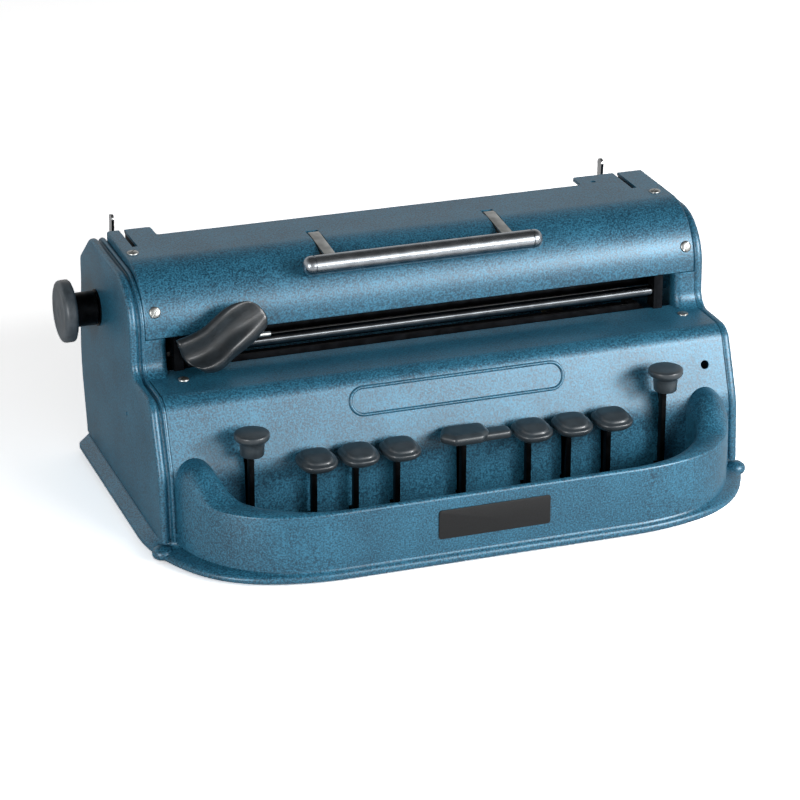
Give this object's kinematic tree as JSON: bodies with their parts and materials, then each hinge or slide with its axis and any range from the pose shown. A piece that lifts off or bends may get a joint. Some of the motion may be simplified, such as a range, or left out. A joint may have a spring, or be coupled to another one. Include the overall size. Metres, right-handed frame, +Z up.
{
  "type": "manual braille writer",
  "caption": "Desktop braille writing machine: keys on levers in a rounded front well, embossing carriage behind a slot, paper roller with side knobs and a fold-down carrying handle.",
  "frame": {"origin": "centre of the footprint, on the surface that the rubber feet stand on", "axes": "+X along the paper's width, towards the right knob; +Y from the keys to the back; +Z up"},
  "size_m": [0.3954, 0.234, 0.1485],
  "materials": {
    "hammertone_paint": "blue-teal hammertone stove enamel, semi-gloss",
    "rubber": "matt black rubber",
    "plated_steel": "zinc-plated steel",
    "chrome": "bright chrome plate",
    "brass": "turned brass",
    "black_steel": "black-oxide steel",
    "grey_plastic": "dark grey moulded plastic, glossy",
    "knob_plastic": "grey moulded plastic, satin",
    "label": "blank black anodised plate",
    "roller_rubber": "ground black rubber on a steel shaft"
  },
  "bodies": {
    "housing": {"base_casting": "hammertone_paint", "bottom_plate": "plated_steel", "rubber_feet": "rubber", "side_plate_left": "hammertone_paint", "side_plate_right": "hammertone_paint", "front_panel": "hammertone_paint", "top_cover": "hammertone_paint", "back_panel": "hammertone_paint", "paper_table": "hammertone_paint", "label_plate": "label", "housing_screws": "plated_steel", "key_shaft": "plated_steel", "front_rail": "chrome", "rear_rail": "plated_steel", "rail_brackets": "black_steel", "escapement_rack": "plated_steel", "inner_brackets": "plated_steel", "roller_bushes": "black_steel", "bell": "brass", "margin_rail": "plated_steel", "key_springs": "plated_steel"},
    "key_dot_1": {"dot_lever_1": "black_steel", "dot_cap_1": "grey_plastic"},
    "key_dot_2": {"dot_lever_2": "black_steel", "dot_cap_2": "grey_plastic"},
    "key_dot_3": {"dot_lever_3": "black_steel", "dot_cap_3": "grey_plastic"},
    "key_dot_4": {"dot_lever_4": "black_steel", "dot_cap_4": "grey_plastic"},
    "key_dot_5": {"dot_lever_5": "black_steel", "dot_cap_5": "grey_plastic"},
    "key_dot_6": {"dot_lever_6": "black_steel", "dot_cap_6": "grey_plastic"},
    "key_space": {"space_lever": "black_steel", "space_bar": "grey_plastic"},
    "key_line": {"line_lever": "black_steel", "line_key": "grey_plastic"},
    "key_backspace": {"backspace_lever": "black_steel", "backspace_key": "grey_plastic"},
    "bar_1": {"emboss_bar_1": "plated_steel"},
    "bar_2": {"emboss_bar_2": "plated_steel"},
    "bar_3": {"emboss_bar_3": "plated_steel"},
    "bar_4": {"emboss_bar_4": "plated_steel"},
    "bar_5": {"emboss_bar_5": "plated_steel"},
    "bar_6": {"emboss_bar_6": "plated_steel"},
    "carriage": {"carriage_frame": "plated_steel", "embossing_head": "chrome", "embossing_pins": "plated_steel"},
    "head_lever_body": {"head_lever": "grey_plastic"},
    "paper_feed": {"paper_roller": "roller_rubber", "ratchet_wheel": "plated_steel", "knob_left": "knob_plastic", "knob_right": "knob_plastic"},
    "paper_release": {"pressure_shaft": "plated_steel", "release_levers": "chrome"},
    "margin_left": {"margin_stop_left": "plated_steel"},
    "margin_right": {"margin_stop_right": "plated_steel"},
    "handle": {"carry_handle": "chrome"},
    "spring_drum": {"mainspring_drum": "brass"},
    "line_feed_pawl": {"line_pawl": "plated_steel"}
  },
  "joints": [
    {"name": "key_dot_1_press", "type": "hinge", "parent": "housing", "child": "key_dot_1", "pos_m": [0, 0.002, 0.019], "axis": [1, 0, 0], "range_deg": [0, 7.3], "stiffness_Nm_per_rad": 0.6, "springref_deg": -8.59, "deforming": ["key_springs"]},
    {"name": "key_dot_2_press", "type": "hinge", "parent": "housing", "child": "key_dot_2", "pos_m": [0, 0.002, 0.019], "axis": [1, 0, 0], "range_deg": [0, 7.3], "stiffness_Nm_per_rad": 0.6, "springref_deg": -8.59, "deforming": ["key_springs"]},
    {"name": "key_dot_3_press", "type": "hinge", "parent": "housing", "child": "key_dot_3", "pos_m": [0, 0.002, 0.019], "axis": [1, 0, 0], "range_deg": [0, 7.3], "stiffness_Nm_per_rad": 0.6, "springref_deg": -8.59, "deforming": ["key_springs"]},
    {"name": "key_dot_4_press", "type": "hinge", "parent": "housing", "child": "key_dot_4", "pos_m": [0, 0.002, 0.019], "axis": [1, 0, 0], "range_deg": [0, 7.3], "stiffness_Nm_per_rad": 0.6, "springref_deg": -8.59, "deforming": ["key_springs"]},
    {"name": "key_dot_5_press", "type": "hinge", "parent": "housing", "child": "key_dot_5", "pos_m": [0, 0.002, 0.019], "axis": [1, 0, 0], "range_deg": [0, 7.3], "stiffness_Nm_per_rad": 0.6, "springref_deg": -8.59, "deforming": ["key_springs"]},
    {"name": "key_dot_6_press", "type": "hinge", "parent": "housing", "child": "key_dot_6", "pos_m": [0, 0.002, 0.019], "axis": [1, 0, 0], "range_deg": [0, 7.3], "stiffness_Nm_per_rad": 0.6, "springref_deg": -8.59, "deforming": ["key_springs"]},
    {"name": "key_space_press", "type": "hinge", "parent": "housing", "child": "key_space", "pos_m": [0, 0.002, 0.019], "axis": [1, 0, 0], "range_deg": [0, 7.3], "stiffness_Nm_per_rad": 0.6, "springref_deg": -8.59, "deforming": ["key_springs"]},
    {"name": "key_line_press", "type": "hinge", "parent": "housing", "child": "key_line", "pos_m": [0, 0.002, 0.019], "axis": [1, 0, 0], "range_deg": [0, 7.3], "stiffness_Nm_per_rad": 0.6, "springref_deg": -8.59, "deforming": ["key_springs"]},
    {"name": "key_backspace_press", "type": "hinge", "parent": "housing", "child": "key_backspace", "pos_m": [0, 0.002, 0.019], "axis": [1, 0, 0], "range_deg": [0, 7.3], "stiffness_Nm_per_rad": 0.6, "springref_deg": -8.59, "deforming": ["key_springs"]},
    {"name": "bar_1_lift", "type": "slide", "parent": "housing", "child": "bar_1", "axis": [0, 0, 1], "range_m": [0, 0.0018]},
    {"name": "bar_2_lift", "type": "slide", "parent": "housing", "child": "bar_2", "axis": [0, 0, 1], "range_m": [0, 0.0018]},
    {"name": "bar_3_lift", "type": "slide", "parent": "housing", "child": "bar_3", "axis": [0, 0, 1], "range_m": [0, 0.0018]},
    {"name": "bar_4_lift", "type": "slide", "parent": "housing", "child": "bar_4", "axis": [0, 0, 1], "range_m": [0, 0.0018]},
    {"name": "bar_5_lift", "type": "slide", "parent": "housing", "child": "bar_5", "axis": [0, 0, 1], "range_m": [0, 0.0018]},
    {"name": "bar_6_lift", "type": "slide", "parent": "housing", "child": "bar_6", "axis": [0, 0, 1], "range_m": [0, 0.0018]},
    {"name": "line_pawl_lift", "type": "slide", "parent": "housing", "child": "line_feed_pawl", "axis": [0, 0, 1], "range_m": [0, 0.0051]},
    {"name": "carriage_travel", "type": "slide", "parent": "housing", "child": "carriage", "axis": [1, 0, 0], "range_m": [0, 0.254]},
    {"name": "head_lever_press", "type": "hinge", "parent": "carriage", "child": "head_lever_body", "pos_m": [0, -0.0048, 0.106], "axis": [1, 0, 0], "range_deg": [0, 12], "stiffness_Nm_per_rad": 0.15, "springref_deg": -5.73},
    {"name": "mainspring_turn", "type": "hinge", "parent": "housing", "child": "spring_drum", "pos_m": [0.135, 0.07, 0.03], "axis": [0, 0, 1], "range_deg": [0, 730]},
    {"name": "paper_roll", "type": "hinge", "parent": "housing", "child": "paper_feed", "pos_m": [0, 0.0725, 0.1038], "axis": [1, 0, 0], "continuous": true},
    {"name": "paper_release_turn", "type": "hinge", "parent": "housing", "child": "paper_release", "pos_m": [0, 0.075, 0.08], "axis": [1, 0, 0], "range_deg": [0, 33]},
    {"name": "margin_left_slide", "type": "slide", "parent": "housing", "child": "margin_left", "axis": [1, 0, 0], "range_m": [0, 0.1]},
    {"name": "margin_right_slide", "type": "slide", "parent": "housing", "child": "margin_right", "axis": [-1, 0, 0], "range_m": [0, 0.1]},
    {"name": "handle_swing", "type": "hinge", "parent": "housing", "child": "handle", "pos_m": [0, 0.039, 0.1425], "axis": [-1, 0, 0], "range_deg": [0, 75]}
  ],
  "couplings": [
    {"joint": "bar_1_lift", "follows": "key_dot_1_press", "m_per_rad": 0.013},
    {"joint": "bar_2_lift", "follows": "key_dot_2_press", "m_per_rad": 0.013},
    {"joint": "bar_3_lift", "follows": "key_dot_3_press", "m_per_rad": 0.013},
    {"joint": "bar_4_lift", "follows": "key_dot_4_press", "m_per_rad": 0.013},
    {"joint": "bar_5_lift", "follows": "key_dot_5_press", "m_per_rad": 0.013},
    {"joint": "bar_6_lift", "follows": "key_dot_6_press", "m_per_rad": 0.013},
    {"joint": "line_pawl_lift", "follows": "key_line_press", "m_per_rad": 0.039},
    {"joint": "mainspring_turn", "follows": "carriage_travel", "rad_per_m": 50}
  ]
}
